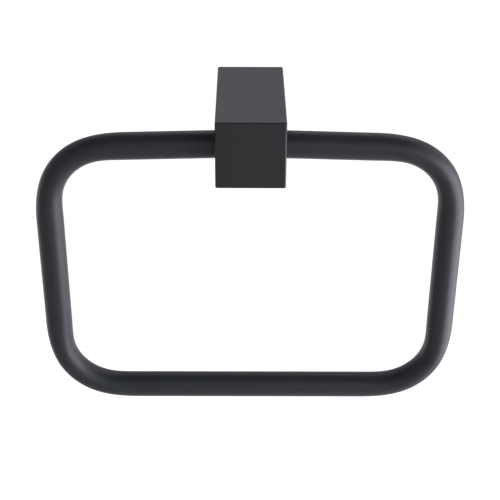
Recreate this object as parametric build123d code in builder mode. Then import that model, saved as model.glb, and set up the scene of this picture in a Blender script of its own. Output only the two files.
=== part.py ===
"""Wall-mounted towel ring: a bent round bar held by a square post on a hidden wall bracket.

Millimetres. The wall is the plane Y = 0, the post stands out of it along -Y, and +Z is up.
The origin is on the wall, on the post's axis.
"""

import os
from math import cos, radians, sin, tan

from build123d import *

# Post: a square block, cast hollow from the wall side
post_side = 30.0
post_projection = 66.0
post_wall = 3.0
post_edge_radius = 0.8
hollow_corner_radius = 1.5
hollow_floor_radius = 1.0

# Ring: one round bar, bent to a rounded rectangle whose two ends sit in the post
ring_width = 189.0  # over the outside of the side limbs
ring_drop = 126.0  # from the post's axis down to the axis of the lower bar
ring_setback = 13.5  # from the post's front face to the plane of the ring
bar_diameter = 12.0
bend_radius = 28.5  # to the bar's axis
arm_fall = 1.5  # degrees that each upper arm drops away from the post
bar_end_chamfer = 0.5

# Sockets in the post's sides that take the bar's ends
socket_depth = 9.0
socket_clearance = 0.1
socket_end_gap = 0.2
socket_back_wall = 7.0  # metal between a socket and the post's hollow

# Bracket: a folded steel strip that is screwed to the wall inside the post
bracket_sheet = 2.0
bracket_inner_bend = 1.0
bracket_flange = 16.0
bracket_flange_corner = 3.0
bracket_side_gap = 0.2
wall_screw_hole = 4.4
wall_screw_spacing = 11.0

# Grub screws: two lock the bar's ends, one clamps the post to the bracket
grub_diameter = 4.0
grub_clearance = 0.1
grub_chamfer = 0.4
key_across_flats = 2.0
key_depth = 2.0
lock_flat_depth = 0.5  # flat on the back of each bar end, under its lock screw
lock_flat_length = 5.5
lock_screw_stand_out = 0.4  # length that stays in the hollow, for the key
set_screw_from_wall = 9.0
set_screw_reach = 4.0  # from the hollow's underside to the bracket's lower flange
set_screw_recess = 1.0  # from the post's underside up to the key end

# Sizes that follow from those
post_half = post_side / 2
hollow_side = post_side - 2 * post_wall
hollow_half = hollow_side / 2
fall = radians(arm_fall)
bar_radius = bar_diameter / 2
ring_from_wall = post_projection - ring_setback
limb_x = ring_width / 2 - bar_radius
bar_end_x = post_half - socket_depth
socket_radius = bar_radius + socket_clearance
hollow_depth = ring_from_wall - socket_radius - socket_back_wall
grub_hole_radius = grub_diameter / 2 + grub_clearance

# The lock screws stand on the flats, halfway along each one
lock_screw_x = bar_end_x + lock_flat_length / 2 * cos(fall)
lock_screw_centres = [(side * lock_screw_x, -lock_screw_x * tan(fall)) for side in (-1, 1)]
flat_from_axis = bar_radius - lock_flat_depth
lock_screw_tip = Plane.back.offset(flat_from_axis - ring_from_wall)
lock_screw_length = socket_radius - flat_from_axis + socket_back_wall + lock_screw_stand_out

# The set screw comes up through the post's underside and presses on the bracket's lower flange
flange_underside_z = set_screw_reach - hollow_half
set_screw_centre = (0, set_screw_from_wall)
set_screw_tip = Plane.bottom.offset(-flange_underside_z)
set_screw_length = set_screw_reach + post_wall - set_screw_recess


def arm_plane(side, along_x):
    """Cross-section of the right (1) or left (-1) upper arm, along_x from the middle, facing outwards."""
    return Plane(
        origin=(side * along_x, -ring_from_wall, -along_x * tan(fall)),
        x_dir=(0, 1, 0),
        z_dir=(side * cos(fall), 0, -sin(fall)),
    )


def grub_screws(tip_plane, centres, length):
    """Headless screws that stand on tip_plane, with chamfered ends and a hexagon socket in the far end."""
    with BuildPart() as screws:
        with BuildSketch(tip_plane):
            with Locations(*centres):
                Circle(grub_diameter / 2)
        extrude(amount=length)
        chamfer(screws.edges().filter_by(GeomType.CIRCLE), grub_chamfer)
        with BuildSketch(tip_plane.offset(length)):
            with Locations(*centres):
                RegularPolygon(key_across_flats / 2, 6, major_radius=False)
        extrude(amount=-key_depth, mode=Mode.SUBTRACT)
    return screws.part


# Post
with BuildPart() as post:
    with BuildSketch(Plane.front):
        Rectangle(post_side, post_side)
    extrude(amount=post_projection)
    front_edges = post.faces().sort_by(Axis.Y)[0].edges()
    fillet(front_edges + post.edges().filter_by(Axis.Y), post_edge_radius)
    with BuildSketch(Plane.front):
        RectangleRounded(hollow_side, hollow_side, hollow_corner_radius)
    extrude(amount=hollow_depth, mode=Mode.SUBTRACT)
    hollow_floor = post.faces().filter_by(Plane.front).filter_by_position(
        Axis.Y, -hollow_depth, -hollow_depth
    )
    fillet(hollow_floor.edges(), hollow_floor_radius)
    for side in (-1, 1):
        with BuildSketch(arm_plane(side, bar_end_x - socket_end_gap)):
            Circle(socket_radius)
        extrude(amount=post_side, mode=Mode.SUBTRACT)
    with BuildSketch(lock_screw_tip):
        with Locations(*lock_screw_centres):
            Circle(grub_hole_radius)
    extrude(amount=lock_screw_length, mode=Mode.SUBTRACT)
    with BuildSketch(Plane.bottom.offset(post_half)):
        with Locations(set_screw_centre):
            Circle(grub_hole_radius)
    extrude(amount=-post_wall, mode=Mode.SUBTRACT)
post.part.label = "post"

# Ring
with BuildPart() as ring:
    with BuildLine(Plane.front.offset(ring_from_wall)):
        FilletPolyline(
            (bar_end_x, -bar_end_x * tan(fall)),
            (limb_x, -limb_x * tan(fall)),
            (limb_x, -ring_drop),
            (-limb_x, -ring_drop),
            (-limb_x, -limb_x * tan(fall)),
            (-bar_end_x, -bar_end_x * tan(fall)),
            radius=bend_radius,
        )
    with BuildSketch(arm_plane(1, bar_end_x)):
        Circle(bar_radius)
    sweep()
    chamfer(ring.faces().filter_by(GeomType.PLANE).edges(), bar_end_chamfer)
    for side in (-1, 1):
        with BuildSketch(arm_plane(side, bar_end_x)):
            with Locations((bar_radius, 0)):
                Rectangle(2 * lock_flat_depth, bar_diameter)
        extrude(amount=lock_flat_length, mode=Mode.SUBTRACT)
ring.part.label = "ring"

# Wall bracket: the upper flange carries the post's hollow, the set screw bears on the lower one
bracket_width = hollow_side - 2 * hollow_corner_radius - 2 * bracket_side_gap
plate_y = -bracket_sheet / 2
upper_flange_z = hollow_half - bracket_sheet / 2
lower_flange_z = flange_underside_z + bracket_sheet / 2
with BuildPart() as wall_bracket:
    with BuildSketch(Plane.YZ):
        with BuildLine():
            FilletPolyline(
                (-bracket_flange, upper_flange_z),
                (plate_y, upper_flange_z),
                (plate_y, lower_flange_z),
                (-bracket_flange, lower_flange_z),
                radius=bracket_inner_bend + bracket_sheet / 2,
            )
        trace(line_width=bracket_sheet)
    extrude(amount=bracket_width / 2, both=True)
    flange_corners = wall_bracket.edges().filter_by(Axis.Z).group_by(Axis.Y)[0]
    fillet(flange_corners, bracket_flange_corner)
    with Locations(Plane.back):
        with GridLocations(wall_screw_spacing, 0, 2, 1):
            Hole(wall_screw_hole / 2, depth=bracket_sheet)
wall_bracket.part.label = "wall_bracket"

# Screws
ring_lock_screws = grub_screws(lock_screw_tip, lock_screw_centres, lock_screw_length)
ring_lock_screws.label = "ring_lock_screws"
bracket_set_screw = grub_screws(set_screw_tip, [set_screw_centre], set_screw_length)
bracket_set_screw.label = "bracket_set_screw"

os.makedirs("parts", exist_ok=True)
for piece in (post.part, ring.part, wall_bracket.part, ring_lock_screws, bracket_set_screw):
    export_step(piece, f"parts/{piece.label}.step")
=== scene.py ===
"""Looks of a wall-mounted towel ring in a black powder coat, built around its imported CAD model.

The file is laid out as an add-on and is run as a script. Lengths are in metres, in the CAD model's
frame: the wall is the plane Y = 0, the post stands out of it along -Y, +Z is up and the origin is on
the post's axis.
"""

import math

import bpy
import numpy as np
from bpy.props import FloatProperty, FloatVectorProperty, PointerProperty
from bpy.types import Operator, Panel, PropertyGroup
from mathutils import Matrix, Vector


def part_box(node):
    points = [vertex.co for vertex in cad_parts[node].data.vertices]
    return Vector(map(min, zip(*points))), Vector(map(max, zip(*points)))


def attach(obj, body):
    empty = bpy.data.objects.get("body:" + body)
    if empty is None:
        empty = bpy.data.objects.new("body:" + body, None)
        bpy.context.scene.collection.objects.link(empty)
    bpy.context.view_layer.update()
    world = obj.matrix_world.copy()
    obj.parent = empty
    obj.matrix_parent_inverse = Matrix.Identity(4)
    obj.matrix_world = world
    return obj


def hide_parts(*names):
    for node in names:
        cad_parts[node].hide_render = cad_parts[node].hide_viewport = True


bl_info = {
    "name": "Towel Ring",
    "version": (1, 0, 0),
    "blender": (4, 5, 0),
    "location": "View3D > Sidebar > Towel Ring",
    "description": "Bent bar, threaded grub screws, finishes and studio of a wall-mounted towel ring",
    "category": "Object",
}

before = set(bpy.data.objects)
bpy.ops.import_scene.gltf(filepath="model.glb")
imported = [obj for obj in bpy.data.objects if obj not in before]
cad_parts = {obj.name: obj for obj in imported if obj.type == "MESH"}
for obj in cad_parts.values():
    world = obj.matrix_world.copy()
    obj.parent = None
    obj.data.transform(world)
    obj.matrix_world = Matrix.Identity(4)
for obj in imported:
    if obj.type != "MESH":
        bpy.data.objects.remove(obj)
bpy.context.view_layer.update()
BODY = "root"
MM = 0.001
SENSOR_WIDTH = 36.0  # of the camera, in millimetres

# Boxes of the CAD pieces that the new pieces stand for
RING_LOW, RING_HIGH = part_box("ring")
LOCK_LOW, LOCK_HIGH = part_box("ring_lock_screws")
SET_LOW, SET_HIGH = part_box("bracket_set_screw")

# Steps of the meshes
BAR_SIDES = 72
BAR_STEP = 1.0 * MM
BEND_STEPS = 36
EASING_SAMPLES = 41
SCREW_SIDES = 60
THREAD_STEPS = 14  # rows to one turn of thread
LEDGE = 0.02 * MM  # length along the bar of the step at the end of a lock flat

# Angles between faces past which an edge is sharp
SHARP_ON_BAR = math.radians(30)
SHARP_ON_SCREW = math.radians(25)

# Powder coat
COAT_IOR = 1.5
SWELL_HEIGHT = 1.6  # height of the orange-peel swell, times the fine grain's
SWELL_SIZE = 6.0  # size of the swell, times the fine grain's
MOTTLE_SIZE = 14 * MM
ROUGHNESS_SPREAD = 0.04  # to each side of the mean

# Steels
STREAK_WIDTH = 0.25 * MM
STREAK_STRETCH = 25.0  # length of a rolling streak, times its width
STEEL_BUMP = 0.006 * MM
ZINC_ROUGHNESS = (0.28, 0.42)
ZINC_CELL = 1.2 * MM
OXIDE_ROUGHNESS = (0.34, 0.5)
OXIDE_CELL = 0.4 * MM

# Floor: its half side, its grey, and the stretch along Y over which its glow changes
FLOOR_HALF_SIDE = 6.0
FLOOR_GREY = 0.6
GLOW_SPAN = (0.0, 0.45)

# Studio: parts of a direction over which its level changes, from left to right, to behind and overhead
ACROSS_SPAN = (-0.5, 0.6)
BEHIND_SPAN = (0.2, 0.9)
OVERHEAD_SPAN = (0.45, 0.95)

# Soft lights, which face the middle of the object: azimuth from the front round to the right, and
# elevation, both in degrees, then distance and size in metres
OBJECT_MIDDLE = Vector((0.0, -0.05, -0.06))
SOFT_LIGHTS = {
    "side_light": (74.0, -12.5, 0.80, (0.93, 1.00)),
    "back_light": (168.0, 48.0, 0.45, (0.40, 0.12)),
}


def tenths(length):
    """A length of the faceted CAD mesh, rounded to the tenth of a millimetre that it was drawn to."""
    return round(length, 4)


class TowelRingBar(PropertyGroup):
    """Sizes of the bent bar."""

    diameter: FloatProperty(
        name="Bar Diameter",
        description="Diameter of the round bar",
        default=tenths(RING_HIGH.y - RING_LOW.y),
        subtype="DISTANCE",
        unit="LENGTH",
    )
    width: FloatProperty(
        name="Ring Width",
        description="Width over the outside of the two side limbs",
        default=tenths(RING_HIGH.x - RING_LOW.x),
        subtype="DISTANCE",
        unit="LENGTH",
    )
    bend_radius: FloatProperty(
        name="Bend Radius",
        description="Radius in the middle of the four bends, to the bar's axis",
        default=26.5 * MM,
        subtype="DISTANCE",
        unit="LENGTH",
    )
    arm_fall: FloatProperty(
        name="Arm Fall",
        description="Angle at which each upper arm drops away from the post",
        default=math.radians(1.5),
        subtype="ANGLE",
        unit="ROTATION",
    )
    end_from_middle: FloatProperty(
        name="End From Middle",
        description="Distance of each bar end from the post's axis, inside its socket",
        default=6.0 * MM,
        subtype="DISTANCE",
        unit="LENGTH",
    )
    end_chamfer: FloatProperty(
        name="End Chamfer",
        description="Chamfer round each bar end",
        default=0.5 * MM,
        subtype="DISTANCE",
        unit="LENGTH",
    )
    flat_length: FloatProperty(
        name="Lock Flat Length",
        description="Length of the flat on the back of each bar end, under its lock screw",
        default=5.5 * MM,
        subtype="DISTANCE",
        unit="LENGTH",
    )
    flat_depth: FloatProperty(
        name="Lock Flat Depth",
        description="Depth of those flats",
        default=0.5 * MM,
        subtype="DISTANCE",
        unit="LENGTH",
    )
    bend_thinning: FloatProperty(
        name="Bend Thinning",
        description="How much the bends are flattened on each side, in the plane of the ring",
        default=0.5 * MM,
        subtype="DISTANCE",
        unit="LENGTH",
    )
    bend_bulge: FloatProperty(
        name="Bend Bulge",
        description="How much the flattened bends stand out to the front and the back",
        default=0.2 * MM,
        subtype="DISTANCE",
        unit="LENGTH",
    )
    bend_easing: FloatProperty(
        name="Bend Easing",
        description="Length over which the bar passes from straight to fully bent and flattened",
        default=18.0 * MM,
        subtype="DISTANCE",
        unit="LENGTH",
    )


class TowelRingScrews(PropertyGroup):
    """Sizes of the grub screws that no CAD box gives."""

    diameter: FloatProperty(
        name="Screw Diameter",
        description="Outer diameter of the thread",
        default=tenths(SET_HIGH.x - SET_LOW.x),
        subtype="DISTANCE",
        unit="LENGTH",
    )
    pitch: FloatProperty(
        name="Thread Pitch",
        description="Rise of the thread in one turn",
        default=0.7 * MM,
        subtype="DISTANCE",
        unit="LENGTH",
    )
    thread_depth: FloatProperty(
        name="Thread Depth",
        description="Depth of the thread's groove",
        default=0.38 * MM,
        subtype="DISTANCE",
        unit="LENGTH",
    )
    chamfer: FloatProperty(
        name="End Chamfer",
        description="Chamfer at both ends of a screw",
        default=0.4 * MM,
        subtype="DISTANCE",
        unit="LENGTH",
    )
    key_width: FloatProperty(
        name="Key Width",
        description="Width over the flats of the hexagon socket",
        default=2.0 * MM,
        subtype="DISTANCE",
        unit="LENGTH",
    )
    key_depth: FloatProperty(
        name="Key Depth",
        description="Depth of the hexagon socket",
        default=2.0 * MM,
        subtype="DISTANCE",
        unit="LENGTH",
    )


class TowelRingFinish(PropertyGroup):
    """Colours and textures of the coat and the steels. The bar's coat colours also carry painted light.
    """

    post_dark: FloatVectorProperty(
        name="Post Coat Dark",
        description="Darker tone of the post's black powder coat",
        default=(0.0058, 0.0065, 0.0062),
        size=3,
        min=0.0,
        max=1.0,
        subtype="COLOR",
    )
    post_light: FloatVectorProperty(
        name="Post Coat Light",
        description="Lighter tone of the post's black powder coat",
        default=(0.0102, 0.0115, 0.0110),
        size=3,
        min=0.0,
        max=1.0,
        subtype="COLOR",
    )
    post_shine: FloatProperty(
        name="Post Coat Shine",
        description="Specular level of the post's coat",
        default=0.5,
        min=0.0,
        max=1.0,
        subtype="FACTOR",
    )
    # Bar and post wear one coat, but the bar's two tones are lighter and bluer than the post's. That
    # lift is painted light for the cool light the bar reflects. The step between the two tones is the
    # coat's own mottle.
    bar_dark_tone_with_painted_light: FloatVectorProperty(
        name="Bar Coat Dark With Painted Light",
        description="Darker tone of the bar's black powder coat",
        default=(0.0126, 0.0151, 0.0166),
        size=3,
        min=0.0,
        max=1.0,
        subtype="COLOR",
    )
    bar_light_tone_with_painted_light: FloatVectorProperty(
        name="Bar Coat Light With Painted Light",
        description="Lighter tone of the bar's black powder coat",
        default=(0.0224, 0.0269, 0.0296),
        size=3,
        min=0.0,
        max=1.0,
        subtype="COLOR",
    )
    bar_shine: FloatProperty(
        name="Bar Coat Shine",
        description="Specular level of the bar's coat",
        default=0.38,
        min=0.0,
        max=1.0,
        subtype="FACTOR",
    )
    coat_roughness: FloatProperty(
        name="Coat Roughness",
        description="Mean roughness of the powder coat",
        default=0.41,
        min=0.0,
        max=1.0,
        subtype="FACTOR",
    )
    grain_size: FloatProperty(
        name="Coat Grain Size",
        description="Size of the powder coat's fine grain",
        default=0.45 * MM,
        subtype="DISTANCE",
        unit="LENGTH",
    )
    grain_height: FloatProperty(
        name="Coat Grain Height",
        description="Height of the powder coat's fine grain",
        default=0.03 * MM,
        subtype="DISTANCE",
        unit="LENGTH",
    )
    zinc_dark: FloatVectorProperty(
        name="Zinc Dark",
        description="Darker tone of the zinc plating",
        default=(0.46, 0.47, 0.49),
        size=3,
        min=0.0,
        max=1.0,
        subtype="COLOR",
    )
    zinc_light: FloatVectorProperty(
        name="Zinc Light",
        description="Lighter tone of the zinc plating",
        default=(0.66, 0.67, 0.67),
        size=3,
        min=0.0,
        max=1.0,
        subtype="COLOR",
    )
    oxide_dark: FloatVectorProperty(
        name="Oxide Dark",
        description="Darker tone of the blackened screws",
        default=(0.050, 0.050, 0.054),
        size=3,
        min=0.0,
        max=1.0,
        subtype="COLOR",
    )
    oxide_light: FloatVectorProperty(
        name="Oxide Light",
        description="Lighter tone of the blackened screws",
        default=(0.115, 0.112, 0.112),
        size=3,
        min=0.0,
        max=1.0,
        subtype="COLOR",
    )


class TowelRingStage(PropertyGroup):
    """Floor, light and camera."""

    floor_height: FloatProperty(
        name="Floor Height",
        description="Height of the floor under the post's axis",
        default=-0.66,
        subtype="DISTANCE",
        unit="LENGTH",
    )
    floor_near: FloatProperty(
        name="Floor Glow Below",
        description="White that the floor below the object shows in reflections",
        default=0.23,
        min=0.0,
    )
    floor_far: FloatProperty(
        name="Floor Glow Behind",
        description="White that the floor shows to the camera, and its back part in reflections",
        default=0.8,
        min=0.0,
    )
    sky_left: FloatProperty(
        name="Studio Left",
        description="Brightness of the studio on the left",
        default=0.38,
        min=0.0,
    )
    sky_right: FloatProperty(
        name="Studio Right",
        description="Brightness of the studio on the right",
        default=1.17,
        min=0.0,
    )
    sky_back: FloatProperty(
        name="Studio Behind",
        description="Brightness of the studio behind the object",
        default=0.57,
        min=0.0,
    )
    sky_top: FloatProperty(
        name="Studio Overhead",
        description="Brightness of the studio's ceiling",
        default=0.15,
        min=0.0,
    )
    side_light: FloatProperty(
        name="Side Light",
        description="Radiance of the large soft light on the right",
        default=4.03,
        min=0.0,
    )
    back_light: FloatProperty(
        name="Back Light",
        description="Radiance of the soft light above and behind",
        default=1.13,
        min=0.0,
    )
    light_tint: FloatVectorProperty(
        name="Light Tint",
        description="Slightly cool colour of the studio and its lights",
        default=(1.0, 0.985, 1.09),
        size=3,
        min=0.0,
        subtype="COLOR",
    )
    lens: FloatProperty(
        name="Lens",
        description="Focal length of the camera on a sensor 36 mm wide, in millimetres",
        default=82.74,
        min=1.0,
    )
    camera_place: FloatVectorProperty(
        name="Camera Place",
        description="Where the camera stands",
        default=(-0.0028, -0.5027, 0.2005),
        size=3,
        subtype="TRANSLATION",
        unit="LENGTH",
    )
    camera_turn: FloatProperty(
        name="Camera Turn",
        description="Turn of the camera to the right of straight ahead",
        default=math.radians(0.354),
        subtype="ANGLE",
        unit="ROTATION",
    )
    camera_tilt: FloatProperty(
        name="Camera Tilt",
        description="Tilt of the camera below the horizon",
        default=math.radians(29.31),
        subtype="ANGLE",
        unit="ROTATION",
    )
    camera_roll: FloatProperty(
        name="Camera Roll",
        description="Roll of the camera about its line of sight",
        default=math.radians(0.33),
        subtype="ANGLE",
        unit="ROTATION",
    )


class TowelRingSettings(PropertyGroup):
    """Everything that a user would change."""

    bar: PointerProperty(type=TowelRingBar)
    screws: PointerProperty(type=TowelRingScrews)
    finish: PointerProperty(type=TowelRingFinish)
    stage: PointerProperty(type=TowelRingStage)


def add_skin(name, grids, sharp_angle):
    """Mesh object of closed skins, one from each grid of points with rows, columns and coordinates.

    The columns of a grid go round, so the last one joins the first. Each pair of neighbouring rows
    gives a band of quads, and the first and the last row are closed by one flat face each. Faces point
    outwards where the columns run anticlockwise, seen with the rows coming towards the viewer.
    """
    points = []
    faces = []
    start = 0
    for grid in grids:
        rows, columns = grid.shape[:2]
        index = start + np.arange(rows * columns).reshape(rows, columns)
        following = np.roll(index, -1, axis=1)
        quads = np.stack([index[:-1], following[:-1], following[1:], index[1:]], axis=-1)
        faces.extend(quads.reshape(-1, 4).tolist())
        faces.append(index[0, ::-1].tolist())
        faces.append(index[-1].tolist())
        points.append(grid.reshape(-1, 3))
        start += rows * columns
    mesh = bpy.data.meshes.new(name)
    mesh.from_pydata(np.concatenate(points), (), faces)
    mesh.shade_smooth()
    mesh.set_sharp_from_angle(angle=sharp_angle)
    piece = bpy.data.objects.new(name, mesh)
    bpy.context.scene.collection.objects.link(piece)
    return piece


def bar_runs(bar):
    """Lengths and turns of the bar's straight and bent runs, from its right end round to its left.

    A bend of radius R that turns by A is R times A long. Eased over the length E it takes
    (R + E * E / (24 * R)) times tan(A / 2) off both straight runs beside it. A turn is negative because
    the bar is followed clockwise.
    """
    limb_x = bar.width / 2 - bar.diameter / 2
    ring_drop = -(RING_LOW.z + bar.diameter / 2)
    upper_turn = math.pi / 2 - bar.arm_fall
    lower_turn = math.pi / 2
    reach = bar.bend_radius + bar.bend_easing**2 / (24 * bar.bend_radius)
    upper_tangent = reach * math.tan(upper_turn / 2)
    lower_tangent = reach * math.tan(lower_turn / 2)
    arm = (limb_x - bar.end_from_middle) / math.cos(bar.arm_fall) - upper_tangent
    limb = tenths(ring_drop) - limb_x * math.tan(bar.arm_fall) - upper_tangent - lower_tangent
    lower_bar = 2 * (limb_x - lower_tangent)
    upper_bend = bar.bend_radius * upper_turn
    lower_bend = bar.bend_radius * lower_turn
    half_lengths = [arm, upper_bend, limb, lower_bend]
    half_turns = [0.0, -upper_turn, 0.0, -lower_turn]
    lengths = np.array(half_lengths + [lower_bar] + half_lengths[::-1])
    turns = np.array(half_turns + [0.0] + half_turns[::-1])
    return lengths, turns


def bar_surface(bar):
    """Grid of the bent bar: an oval section carried along its axis, right end to left end.

    The heading changes evenly along each bend and not at all along a straight run, and is then averaged
    over the easing length. A step of the axis goes along the middle heading of its two ends, by its arc
    times sin(half turn) / (half turn), which is exact on a circle. The section is an ellipse: round on
    the straight runs, narrower in the plane of the ring and deeper across it in the middle of a bend,
    with an S-shaped passage between the two. Each end has a chamfer, and a flat on its back, where no
    point lies further back than the flat.
    """
    radius = bar.diameter / 2
    lengths, turns = bar_runs(bar)
    knots = np.concatenate([[0.0], np.cumsum(lengths)])
    total = knots[-1]
    knot_headings = np.concatenate([[0.0], np.cumsum(turns)]) - bar.arm_fall

    # Rows: the ends of the runs, even steps between them, and the edges of the chamfers and flats
    steps = np.where(turns == 0, np.ceil(lengths / BAR_STEP), BEND_STEPS).astype(int)
    even = [np.linspace(a, b, n, endpoint=False) for a, b, n in zip(knots[:-1], knots[1:], steps)]
    edges = np.array([bar.end_chamfer, bar.flat_length, bar.flat_length + LEDGE])
    along = np.unique(np.concatenate([*even, edges, total - edges, [total]]))

    # Axis
    spread = np.linspace(-0.5, 0.5, EASING_SAMPLES) * bar.bend_easing
    heading = np.interp(along[:, None] + spread, knots, knot_headings).mean(axis=1)
    turn = np.diff(heading)
    chord = np.diff(along) * np.sinc(turn / 2 / np.pi)
    middle = (heading[:-1] + heading[1:]) / 2
    start_x = bar.end_from_middle
    start_z = -bar.end_from_middle * math.tan(bar.arm_fall)
    axis_x = start_x + np.concatenate([[0.0], np.cumsum(chord * np.cos(middle))])
    axis_z = start_z + np.concatenate([[0.0], np.cumsum(chord * np.sin(middle))])
    axis_y = (RING_LOW.y + RING_HIGH.y) / 2

    # Section
    bends = turns != 0
    into_bend = np.minimum(along[:, None] - knots[:-1][bends], knots[1:][bends] - along[:, None])
    share = np.clip(into_bend.max(axis=1) / bar.bend_easing + 0.5, 0, 1)
    oval = share * share * (3 - 2 * share)
    from_end = np.minimum(along, total - along)
    chamfer = np.maximum(bar.end_chamfer - from_end, 0)
    outward_half = radius - chamfer - bar.bend_thinning * oval
    forward_half = radius - chamfer + bar.bend_bulge * oval
    angle = np.linspace(0, 2 * np.pi, BAR_SIDES, endpoint=False)
    outward = outward_half[:, None] * np.cos(angle)
    forward = forward_half[:, None] * np.sin(angle)
    has_flat = from_end < bar.flat_length + LEDGE / 2
    furthest_back = np.where(has_flat, radius - bar.flat_depth, np.inf)
    forward = np.maximum(forward, -furthest_back[:, None])

    x = axis_x[:, None] - outward * np.sin(heading)[:, None]
    y = axis_y - forward
    z = axis_z[:, None] + outward * np.cos(heading)[:, None]
    return np.stack([x, y, z], axis=-1)


def grub_screw_surface(screws, length):
    """Grid of a headless screw along +Z, from its tip face up its thread and down into its key socket.

    On the side the radius is the outer radius less the thread's depth times a triangle wave of
    (height / pitch - turn), held inside the cones of the two end chamfers. In the socket the radius is
    the hexagon's: half its width over cos(angle from the middle of the nearest flat).
    """
    radius = screws.diameter / 2
    angle = np.linspace(0, 2 * np.pi, SCREW_SIDES, endpoint=False)
    rows = math.ceil(length / screws.pitch * THREAD_STEPS)
    height = np.linspace(0, length, rows + 1)[:, None]
    phase = height / screws.pitch - angle / (2 * np.pi)
    groove = np.abs(2 * (phase - np.floor(phase)) - 1)
    cone = radius - screws.chamfer + np.minimum(height, length - height)
    side = np.minimum(radius - screws.thread_depth * groove, cone)
    sixth = np.pi / 3
    from_flat = (angle + sixth / 2) % sixth - sixth / 2
    hexagon = screws.key_width / 2 / np.cos(from_flat)
    radii = np.vstack([side, hexagon, hexagon])
    heights = np.vstack([height, [[length], [length - screws.key_depth]]])
    x = radii * np.cos(angle)
    y = radii * np.sin(angle)
    return np.stack([x, y, np.broadcast_to(heights, x.shape)], axis=-1)


def placed(grid, turn_about_x, tip):
    """The grid turned about the X axis and moved so that its local origin is at tip."""
    turn = np.array(Matrix.Rotation(turn_about_x, 3, "X"))
    return grid @ turn.T + np.array(tip)


def new_group(name, inputs, outputs):
    """Shader node group with float sockets, as its tree, its input node and its output node."""
    tree = bpy.data.node_groups.new(name, "ShaderNodeTree")
    for socket, default in inputs.items():
        made = tree.interface.new_socket(socket, in_out="INPUT", socket_type="NodeSocketFloat")
        made.default_value = default
    for socket in outputs:
        tree.interface.new_socket(socket, in_out="OUTPUT", socket_type="NodeSocketFloat")
    return tree, tree.nodes.new("NodeGroupInput"), tree.nodes.new("NodeGroupOutput")


def feed(tree, value, socket):
    """Links a node's output to a socket, or sets the socket to a number."""
    if isinstance(value, bpy.types.NodeSocket):
        tree.links.new(value, socket)
    else:
        socket.default_value = value


def add_math(tree, operation, first, second):
    """Math node of two values, each a socket or a number, as its output."""
    node = tree.nodes.new("ShaderNodeMath")
    node.operation = operation
    feed(tree, first, node.inputs[0])
    feed(tree, second, node.inputs[1])
    return node.outputs[0]


def add_ramp(tree, value, span, ends):
    """S-shaped ramp of a value over a span, from one end level to the other, as its output."""
    ramp = tree.nodes.new("ShaderNodeMapRange")
    ramp.interpolation_type = "SMOOTHSTEP"
    feed(tree, value, ramp.inputs["Value"])
    feed(tree, span[0], ramp.inputs["From Min"])
    feed(tree, span[1], ramp.inputs["From Max"])
    feed(tree, ends[0], ramp.inputs["To Min"])
    feed(tree, ends[1], ramp.inputs["To Max"])
    return ramp.outputs["Result"]


def add_noise(tree, vector, scale, detail):
    """Noise texture on a vector, with its scale from a socket, as its value output."""
    noise = tree.nodes.new("ShaderNodeTexNoise")
    noise.inputs["Detail"].default_value = detail
    tree.links.new(vector, noise.inputs["Vector"])
    tree.links.new(scale, noise.inputs["Scale"])
    return noise.outputs["Fac"]


def coat_grain_group():
    """Powder coat: a fine pebbled height, a long orange-peel swell in it, and a soft cloudy mottle."""
    inputs = {"Grain Size": 0.5 * MM, "Swell": SWELL_HEIGHT, "Mottle Size": MOTTLE_SIZE}
    tree, given, result = new_group("Powder Coat Grain", inputs, ["Height", "Mottle"])
    place = tree.nodes.new("ShaderNodeTexCoord").outputs["Object"]
    fine_scale = add_math(tree, "DIVIDE", 1.0, given.outputs["Grain Size"])
    swell_scale = add_math(tree, "DIVIDE", fine_scale, SWELL_SIZE)
    mottle_scale = add_math(tree, "DIVIDE", 1.0, given.outputs["Mottle Size"])
    fine = add_noise(tree, place, fine_scale, detail=2.0)
    swell = add_noise(tree, place, swell_scale, detail=1.0)
    swell_part = add_math(tree, "MULTIPLY", swell, given.outputs["Swell"])
    height = add_math(tree, "ADD", fine, swell_part)
    mottle = add_noise(tree, place, mottle_scale, detail=3.0)
    tree.links.new(height, result.inputs["Height"])
    tree.links.new(mottle, result.inputs["Mottle"])
    return tree


def steel_grain_group():
    """Plated steel: rolling streaks along X as height, and their mean with Voronoi cells as mottle."""
    inputs = {"Streak Width": STREAK_WIDTH, "Cell Size": ZINC_CELL}
    tree, given, result = new_group("Plated Steel Grain", inputs, ["Height", "Mottle"])
    place = tree.nodes.new("ShaderNodeTexCoord").outputs["Object"]
    stretch = tree.nodes.new("ShaderNodeMapping")
    stretch.inputs["Scale"].default_value = (1 / STREAK_STRETCH, 1.0, 1.0)
    tree.links.new(place, stretch.inputs["Vector"])
    streak_scale = add_math(tree, "DIVIDE", 1.0, given.outputs["Streak Width"])
    streak = add_noise(tree, stretch.outputs["Vector"], streak_scale, detail=2.0)
    cells = tree.nodes.new("ShaderNodeTexVoronoi")
    tree.links.new(place, cells.inputs["Vector"])
    cell_scale = add_math(tree, "DIVIDE", 1.0, given.outputs["Cell Size"])
    tree.links.new(cell_scale, cells.inputs["Scale"])
    tone = tree.nodes.new("ShaderNodeSeparateColor")
    tree.links.new(cells.outputs["Color"], tone.inputs["Color"])
    both = add_math(tree, "ADD", tone.outputs["Red"], streak)
    mean = add_math(tree, "MULTIPLY", both, 0.5)
    tree.links.new(streak, result.inputs["Height"])
    tree.links.new(mean, result.inputs["Mottle"])
    return tree


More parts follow.
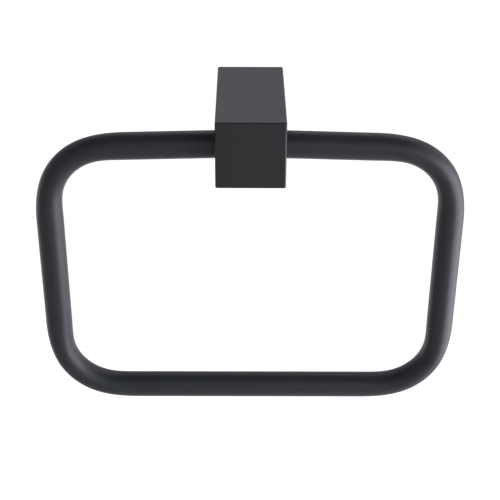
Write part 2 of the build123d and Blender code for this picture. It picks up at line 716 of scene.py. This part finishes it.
def grained_material(name, group, group_values, colours, roughness, bump_height, shader_values):
    """Principled material with the colour, roughness and bump of a grain group.

    Colours and roughness are pairs that the group's mottle goes between, and its height gives the bump.
    """
    material = bpy.data.materials.new(name)
    material.use_nodes = True
    tree = material.node_tree
    shader = tree.nodes["Principled BSDF"]
    for socket, value in shader_values.items():
        shader.inputs[socket].default_value = value
    grain = tree.nodes.new("ShaderNodeGroup")
    grain.node_tree = group
    for socket, value in group_values.items():
        grain.inputs[socket].default_value = value

    tone = tree.nodes.new("ShaderNodeMix")
    tone.data_type = "RGBA"
    tone.inputs["A"].default_value = (*colours[0], 1.0)
    tone.inputs["B"].default_value = (*colours[1], 1.0)
    tree.links.new(grain.outputs["Mottle"], tone.inputs["Factor"])
    tree.links.new(tone.outputs["Result"], shader.inputs["Base Color"])

    gloss = tree.nodes.new("ShaderNodeMapRange")
    gloss.inputs["To Min"].default_value = roughness[0]
    gloss.inputs["To Max"].default_value = roughness[1]
    tree.links.new(grain.outputs["Mottle"], gloss.inputs["Value"])
    tree.links.new(gloss.outputs["Result"], shader.inputs["Roughness"])

    bump = tree.nodes.new("ShaderNodeBump")
    bump.inputs["Distance"].default_value = bump_height
    tree.links.new(grain.outputs["Height"], bump.inputs["Height"])
    tree.links.new(bump.outputs["Normal"], shader.inputs["Normal"])
    return material


def coat_material(name, finish, colours, shine):
    """Satin black powder coat."""
    group = bpy.data.node_groups.get("Powder Coat Grain") or coat_grain_group()
    return grained_material(
        name,
        group,
        {"Grain Size": finish.grain_size, "Swell": SWELL_HEIGHT, "Mottle Size": MOTTLE_SIZE},
        colours,
        (finish.coat_roughness - ROUGHNESS_SPREAD, finish.coat_roughness + ROUGHNESS_SPREAD),
        finish.grain_height,
        {"IOR": COAT_IOR, "Specular IOR Level": shine},
    )


def steel_material(name, colours, roughness, cell_size):
    """Plated or blackened steel."""
    group = bpy.data.node_groups.get("Plated Steel Grain") or steel_grain_group()
    return grained_material(
        name,
        group,
        {"Streak Width": STREAK_WIDTH, "Cell Size": cell_size},
        colours,
        roughness,
        STEEL_BUMP,
        {"Metallic": 1.0},
    )


def dress(piece, material):
    """Gives all of a piece one material."""
    piece.data.materials.clear()
    piece.data.materials.append(material)


def add_piece(name, grids, sharp_angle, material, node):
    """New piece that stands for a CAD node."""
    piece = add_skin(name, grids, sharp_angle)
    dress(piece, material)
    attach(piece, BODY)
    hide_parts(node)


class TOWELRING_OT_bend_bar(Operator):
    """Bend the round bar that carries the towel and give it its coat"""

    bl_idname = "towel_ring.bend_bar"
    bl_label = "Bend Bar"

    def execute(self, context):
        settings = context.scene.towel_ring
        finish = settings.finish
        # The bar's tones carry painted light: they are lighter and bluer than the post's same coat.
        tones = (finish.bar_dark_tone_with_painted_light, finish.bar_light_tone_with_painted_light)
        coat = coat_material("Black coat on bar", finish, tones, finish.bar_shine)
        grid = bar_surface(settings.bar)
        add_piece("bent_bar", [grid], SHARP_ON_BAR, coat, "ring")
        return {"FINISHED"}


class TOWELRING_OT_coat_post(Operator):
    """Coat the square post that holds the bar"""

    bl_idname = "towel_ring.coat_post"
    bl_label = "Coat Post"

    def execute(self, context):
        finish = context.scene.towel_ring.finish
        tones = (finish.post_dark, finish.post_light)
        coat = coat_material("Black coat on post", finish, tones, finish.post_shine)
        dress(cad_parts["post"], coat)
        return {"FINISHED"}


class TOWELRING_OT_plate_bracket(Operator):
    """Plate the folded wall bracket with zinc"""

    bl_idname = "towel_ring.plate_bracket"
    bl_label = "Plate Bracket"

    def execute(self, context):
        finish = context.scene.towel_ring.finish
        tones = (finish.zinc_dark, finish.zinc_light)
        zinc = steel_material("Zinc plate", tones, ZINC_ROUGHNESS, ZINC_CELL)
        dress(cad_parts["wall_bracket"], zinc)
        return {"FINISHED"}


class TOWELRING_OT_cut_screws(Operator):
    """Cut the threads and key sockets of the three grub screws"""

    bl_idname = "towel_ring.cut_screws"
    bl_label = "Cut Grub Screws"

    def execute(self, context):
        settings = context.scene.towel_ring
        finish = settings.finish
        screws = settings.screws
        radius = screws.diameter / 2
        tones = (finish.oxide_dark, finish.oxide_light)
        oxide = steel_material("Black oxide", tones, OXIDE_ROUGHNESS, OXIDE_CELL)

        # The two lock screws point forwards, and their tips stand on the bar's flats
        lock = grub_screw_surface(screws, LOCK_HIGH.y - LOCK_LOW.y)
        lock_z = (LOCK_LOW.z + LOCK_HIGH.z) / 2
        places = [(x, LOCK_LOW.y, lock_z) for x in (LOCK_LOW.x + radius, LOCK_HIGH.x - radius)]
        lock_grids = [placed(lock, math.radians(-90), place) for place in places]
        add_piece(
            "lock_screw_threads", lock_grids, SHARP_ON_SCREW, oxide, "ring_lock_screws"
        )

        # The set screw points up at the bracket's lower flange
        set_screw = grub_screw_surface(screws, SET_HIGH.z - SET_LOW.z)
        set_place = ((SET_LOW.x + SET_HIGH.x) / 2, (SET_LOW.y + SET_HIGH.y) / 2, SET_HIGH.z)
        set_grid = placed(set_screw, math.radians(180), set_place)
        add_piece(
            "set_screw_threads", [set_grid], SHARP_ON_SCREW, oxide, "bracket_set_screw"
        )
        return {"FINISHED"}


def floor_material(stage):
    """Matt pale floor that also glows, evenly to the camera and less below the object in reflections."""
    material = bpy.data.materials.new("White floor")
    material.use_nodes = True
    tree = material.node_tree
    tree.nodes.clear()
    rays = tree.nodes.new("ShaderNodeLightPath").outputs
    place = tree.nodes.new("ShaderNodeTexCoord").outputs["Object"]
    parts = tree.nodes.new("ShaderNodeSeparateXYZ")
    tree.links.new(place, parts.inputs["Vector"])
    glow = add_ramp(tree, parts.outputs["Y"], GLOW_SPAN, (stage.floor_near, stage.floor_far))
    reflected = add_math(tree, "MAXIMUM", rays["Is Glossy Ray"], rays["Is Transmission Ray"])
    indirect = add_math(tree, "MULTIPLY", reflected, glow)
    direct = add_math(tree, "MULTIPLY", rays["Is Camera Ray"], stage.floor_far)
    emission = tree.nodes.new("ShaderNodeEmission")
    tree.links.new(add_math(tree, "MAXIMUM", direct, indirect), emission.inputs["Strength"])
    diffuse = tree.nodes.new("ShaderNodeBsdfDiffuse")
    diffuse.inputs["Color"].default_value = (FLOOR_GREY, FLOOR_GREY, FLOOR_GREY, 1.0)
    both = tree.nodes.new("ShaderNodeAddShader")
    tree.links.new(diffuse.outputs["BSDF"], both.inputs[0])
    tree.links.new(emission.outputs["Emission"], both.inputs[1])

    # From below the floor is clear, so that it never hides the object
    clear = tree.nodes.new("ShaderNodeBsdfTransparent")
    sides = tree.nodes.new("ShaderNodeNewGeometry")
    one_sided = tree.nodes.new("ShaderNodeMixShader")
    tree.links.new(sides.outputs["Backfacing"], one_sided.inputs["Fac"])
    tree.links.new(both.outputs["Shader"], one_sided.inputs[1])
    tree.links.new(clear.outputs["BSDF"], one_sided.inputs[2])
    output = tree.nodes.new("ShaderNodeOutputMaterial")
    tree.links.new(one_sided.outputs["Shader"], output.inputs["Surface"])
    return material


def add_floor(stage):
    """Square floor under the object."""
    corners = np.array([(-1, -1), (1, -1), (1, 1), (-1, 1)]) * FLOOR_HALF_SIDE
    points = np.column_stack([corners, np.full(4, stage.floor_height)])
    mesh = bpy.data.meshes.new("floor")
    mesh.from_pydata(points, (), [(0, 1, 2, 3)])
    floor = bpy.data.objects.new("floor", mesh)
    bpy.context.scene.collection.objects.link(floor)
    dress(floor, floor_material(stage))


def light_world(stage):
    """Studio round the object: dim on the left and behind, bright on the right, dark overhead.

    The camera itself sees white instead.
    """
    world = bpy.data.worlds.new("Studio")
    world.use_nodes = True
    bpy.context.scene.world = world
    tree = world.node_tree
    direction = tree.nodes.new("ShaderNodeTexCoord").outputs["Generated"]
    parts = tree.nodes.new("ShaderNodeSeparateXYZ")
    tree.links.new(direction, parts.inputs["Vector"])
    sides = add_ramp(tree, parts.outputs["X"], ACROSS_SPAN, (stage.sky_left, stage.sky_right))
    walls = add_ramp(tree, parts.outputs["Y"], BEHIND_SPAN, (sides, stage.sky_back))
    level = add_ramp(tree, parts.outputs["Z"], OVERHEAD_SPAN, (walls, stage.sky_top))
    seen = tree.nodes.new("ShaderNodeLightPath").outputs["Is Camera Ray"]
    strength = add_math(tree, "MAXIMUM", level, seen)
    background = tree.nodes["Background"]
    tree.links.new(strength, background.inputs["Strength"])
    colour = tree.nodes.new("ShaderNodeMix")
    colour.data_type = "RGBA"
    colour.inputs["A"].default_value = (*stage.light_tint, 1.0)
    colour.inputs["B"].default_value = (1.0, 1.0, 1.0, 1.0)
    tree.links.new(seen, colour.inputs["Factor"])
    tree.links.new(colour.outputs["Result"], background.inputs["Color"])


def add_soft_light(name, radiance, tint):
    """Rectangular soft light of SOFT_LIGHTS. Its power is radiance times area times pi."""
    azimuth, elevation, distance, size = SOFT_LIGHTS[name]
    turn = math.radians(azimuth)
    rise = math.radians(elevation)
    outward = Vector(
        (math.sin(turn) * math.cos(rise), -math.cos(turn) * math.cos(rise), math.sin(rise))
    )
    lamp = bpy.data.lights.new(name, "AREA")
    lamp.color = tint
    lamp.shape = "RECTANGLE"
    lamp.size, lamp.size_y = size
    lamp.energy = radiance * size[0] * size[1] * math.pi
    light = bpy.data.objects.new(name, lamp)
    bpy.context.scene.collection.objects.link(light)
    light.location = OBJECT_MIDDLE + outward * distance
    light.rotation_euler = (-outward).to_track_quat("-Z", "Y").to_euler()


def add_camera(stage):
    """Camera that is turned, tilted and rolled from looking along +Y."""
    data = bpy.data.cameras.new("camera")
    data.sensor_width = SENSOR_WIDTH
    data.lens = stage.lens
    camera = bpy.data.objects.new("camera", data)
    bpy.context.scene.collection.objects.link(camera)
    turn = Matrix.Rotation(-stage.camera_turn, 4, "Z")
    tilt = Matrix.Rotation(math.pi / 2 - stage.camera_tilt, 4, "X")
    roll = Matrix.Rotation(stage.camera_roll, 4, "Z")
    camera.matrix_world = Matrix.Translation(stage.camera_place) @ turn @ tilt @ roll
    bpy.context.scene.camera = camera


class TOWELRING_OT_set_stage(Operator):
    """Set the floor, the studio, its soft lights and the camera"""

    bl_idname = "towel_ring.set_stage"
    bl_label = "Set Stage"

    def execute(self, context):
        stage = context.scene.towel_ring.stage
        add_floor(stage)
        light_world(stage)
        for name in SOFT_LIGHTS:
            add_soft_light(name, getattr(stage, name), stage.light_tint)
        add_camera(stage)
        context.scene.view_settings.view_transform = "Standard"
        return {"FINISHED"}


STEPS = (
    TOWELRING_OT_bend_bar,
    TOWELRING_OT_coat_post,
    TOWELRING_OT_plate_bracket,
    TOWELRING_OT_cut_screws,
    TOWELRING_OT_set_stage,
)


class TOWELRING_PT_sidebar(Panel):
    """Steps and settings of the towel ring"""

    bl_label = "Towel Ring"
    bl_space_type = "VIEW_3D"
    bl_region_type = "UI"
    bl_category = "Towel Ring"

    def draw(self, context):
        settings = context.scene.towel_ring
        for step in STEPS:
            self.layout.operator(step.bl_idname)
        for group in (settings.bar, settings.screws, settings.finish, settings.stage):
            box = self.layout.box()
            for name in group.__annotations__:
                box.prop(group, name)


CLASSES = (
    TowelRingBar,
    TowelRingScrews,
    TowelRingFinish,
    TowelRingStage,
    TowelRingSettings,
    *STEPS,
    TOWELRING_PT_sidebar,
)


def register():
    for cls in CLASSES:
        bpy.utils.register_class(cls)
    bpy.types.Scene.towel_ring = PointerProperty(type=TowelRingSettings)


def unregister():
    del bpy.types.Scene.towel_ring
    for cls in reversed(CLASSES):
        bpy.utils.unregister_class(cls)


def main():
    register()
    bpy.ops.towel_ring.bend_bar()
    bpy.ops.towel_ring.coat_post()
    bpy.ops.towel_ring.plate_bracket()
    bpy.ops.towel_ring.cut_screws()
    bpy.ops.towel_ring.set_stage()


if __name__ == "__main__":
    main()
